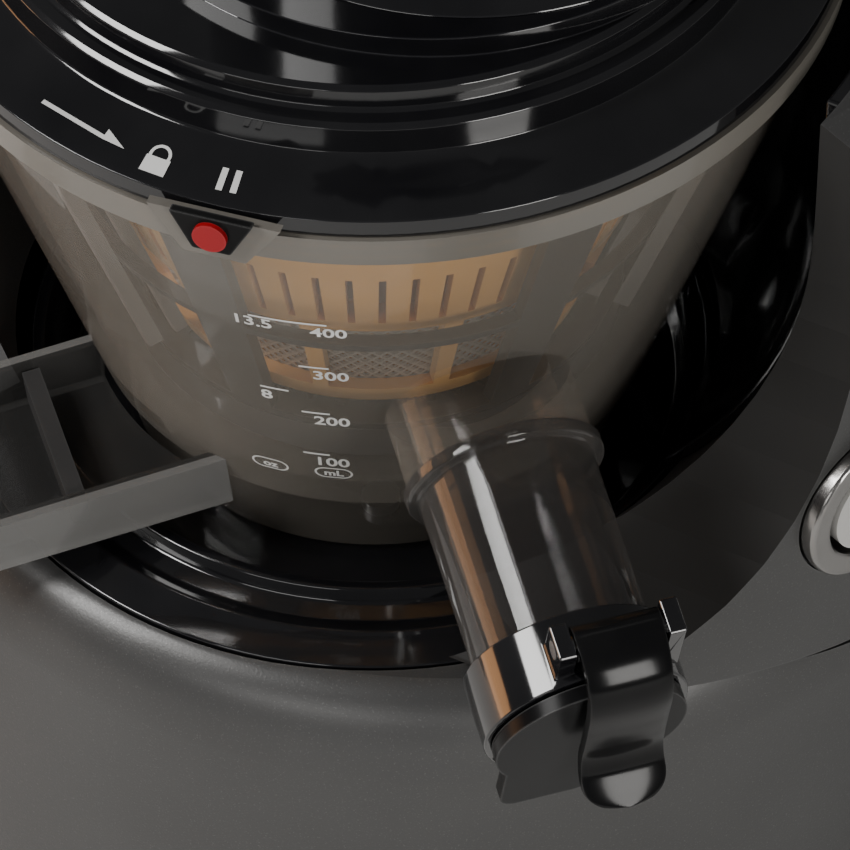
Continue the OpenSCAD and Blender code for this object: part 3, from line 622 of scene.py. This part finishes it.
view = {"turn": 28.0, "tilt": 48.0, "distance": 1.2, "lens": 311.0, "aim": (19.1, -18.2, 184.4)}
cameraData = bpy.data.cameras.new("view")
camera = bpy.data.objects.new("view", cameraData)
bpy.context.scene.collection.objects.link(camera)
cameraData.lens = view["lens"]
cameraData.sensor_width = 36
cameraData.clip_start = 0.05
cameraData.clip_end = 20
turn, tilt = math.radians(view["turn"]), math.radians(view["tilt"])
aim = Vector(view["aim"]) * mm
back = Vector((math.sin(turn) * math.cos(tilt), -math.cos(turn) * math.cos(tilt), math.sin(tilt)))
camera.location = aim + back * view["distance"]
camera.rotation_euler = back.to_track_quat("Z", "Y").to_euler()
bpy.context.scene.camera = camera

# floor and light
studio = {
    "key": {"at": (-0.75, -0.75, 1.25), "size": (0.5, 0.5), "power": 17, "shade": (1, 0.99, 0.975)},
    "side": {"at": (1.12, -0.7, 0.6), "size": (0.34, 0.6), "power": 8, "shade": (1, 0.98, 0.95)},
    "front": {"at": (0.1, -1.3, 0.6), "size": (0.6, 0.3), "power": 2.5, "shade": (1, 0.99, 0.97)},
    "back": {"at": (-1.0, 0.9, 0.7), "size": (0.5, 0.9), "power": 5, "shade": (1, 1, 1)},
    "warm": {"at": (-0.9, -0.35, 0.16), "size": (0.35, 0.3), "power": 1.6, "shade": (1, 0.5, 0.22)},
    "world": (0.6, 0.6, 0.6), "worldPower": 0.22,
}
for lampName in ("key", "side", "front", "back", "warm"):
    lampLook = studio[lampName]
    lampData = bpy.data.lights.new(lampName, "AREA")
    lampData.shape = "RECTANGLE"
    lampData.size, lampData.size_y = lampLook["size"]
    lampData.energy = lampLook["power"]
    lampData.color = lampLook["shade"]
    lamp = bpy.data.objects.new(lampName, lampData)
    bpy.context.scene.collection.objects.link(lamp)
    lamp.location = lampLook["at"]
    lamp.rotation_euler = (Vector(lampLook["at"]) - Vector((0, 0, 0.2))).to_track_quat("Z", "Y").to_euler()

world = bpy.data.worlds.new("studio")
world.use_nodes = True
world.node_tree.nodes["Background"].inputs["Color"].default_value = (*studio["world"], 1)
world.node_tree.nodes["Background"].inputs["Strength"].default_value = studio["worldPower"]
bpy.context.scene.world = world

floorFinish = Finish("floorPale")
floorTone = floorFinish.noise(3, 3)
floorFinish.feed("Base Color", floorFinish.blend(floorTone, (0.7, 0.7, 0.69), (0.76, 0.76, 0.75)))
floorFinish.constant(Roughness=0.7)
floorMesh = bmesh.new()
bmesh.ops.create_grid(floorMesh, x_segments=8, y_segments=8, size=4)
floorData = bpy.data.meshes.new("floor")
floorMesh.to_mesh(floorData)
floorMesh.free()
floor = bpy.data.objects.new("floor", floorData)
floorData.materials.append(floorFinish.material)
bpy.context.scene.collection.objects.link(floor)
print("camera, floor and lights set")
